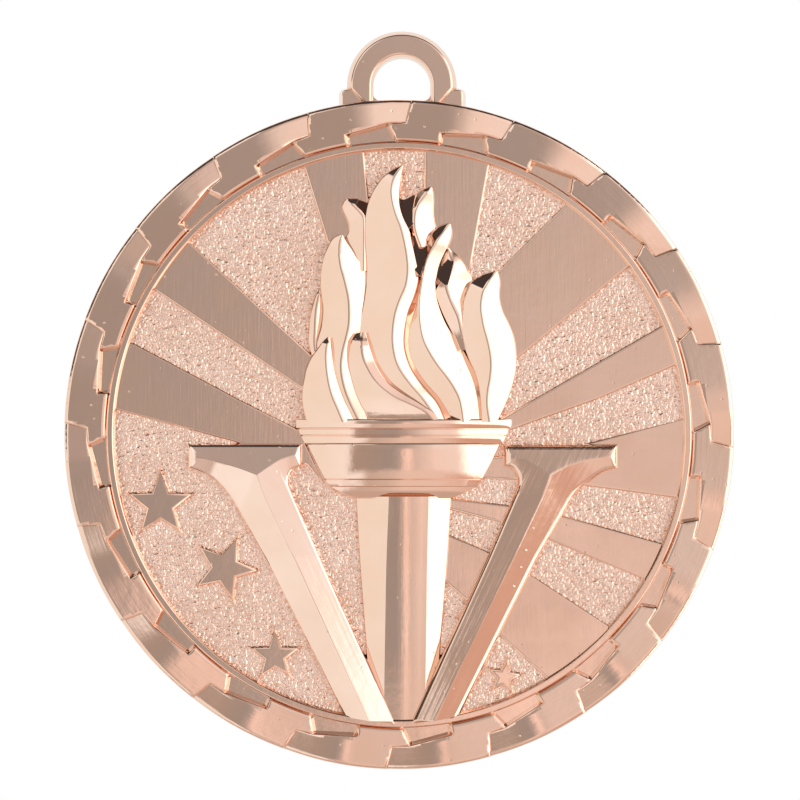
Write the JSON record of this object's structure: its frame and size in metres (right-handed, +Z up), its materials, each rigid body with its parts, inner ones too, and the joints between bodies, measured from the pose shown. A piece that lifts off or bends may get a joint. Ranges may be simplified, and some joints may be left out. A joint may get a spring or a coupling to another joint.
{
  "type": "sports finisher medal",
  "caption": "Round rose-copper plated medal with a hanging loop, overlapping border plates, sun rays, stars, a victory V and a flaming torch in relief.",
  "frame": {"origin": "centre of the disc on its flat back face", "axes": "+Z up the face to the hanging loop, +Y out of the flat back, -Y out of the picture side, +X to the right as the picture side is seen"},
  "size_m": [0.0508, 0.0042, 0.0561],
  "materials": {
    "polished_bronze": "polished rose-copper plating",
    "border_bronze": "polished rose-copper plating with fine marks along the plates",
    "satin_bronze": "finely brushed rose-copper plating",
    "stippled_ground": "stippled rose-copper plating"
  },
  "bodies": {
    "root": {"planchet": "stippled_ground", "bead_ring": "polished_bronze", "border_plate_01": "border_bronze", "border_plate_02": "border_bronze", "border_plate_03": "border_bronze", "border_plate_04": "border_bronze", "border_plate_05": "border_bronze", "border_plate_06": "border_bronze", "border_plate_07": "border_bronze", "border_plate_08": "border_bronze", "border_plate_09": "border_bronze", "border_plate_10": "border_bronze", "border_plate_11": "border_bronze", "border_plate_12": "border_bronze", "border_plate_13": "border_bronze", "border_plate_14": "border_bronze", "border_plate_15": "border_bronze", "border_plate_16": "border_bronze", "border_plate_17": "border_bronze", "border_plate_18": "border_bronze", "border_plate_19": "border_bronze", "border_plate_20": "border_bronze", "suspension_loop": "polished_bronze", "loop_shoulder_left": "polished_bronze", "loop_shoulder_right": "polished_bronze", "v_arm_left": "polished_bronze", "v_arm_right": "polished_bronze", "torch_stem": "polished_bronze", "bowl_rim": "polished_bronze", "bowl_body": "polished_bronze", "bowl_foot": "polished_bronze", "flame_front_centre": "polished_bronze", "flame_front_left": "polished_bronze", "flame_main": "polished_bronze", "flame_right_curl": "polished_bronze", "flame_left": "polished_bronze", "flame_right_outer": "polished_bronze", "flame_right_back": "polished_bronze", "flame_right_middle": "polished_bronze", "flame_left_back": "polished_bronze", "flame_left_edge": "polished_bronze", "ray_1": "satin_bronze", "ray_2": "satin_bronze", "ray_3": "satin_bronze", "ray_4": "satin_bronze", "ray_5": "satin_bronze", "ray_6": "satin_bronze", "ray_7": "satin_bronze", "ray_8": "satin_bronze", "ray_9": "satin_bronze", "ray_inner_1": "satin_bronze", "ray_inner_2": "satin_bronze", "ray_inner_3": "satin_bronze", "star_1": "polished_bronze", "star_2": "polished_bronze", "star_3": "polished_bronze", "star_4": "polished_bronze"}
  },
  "joints": []
}
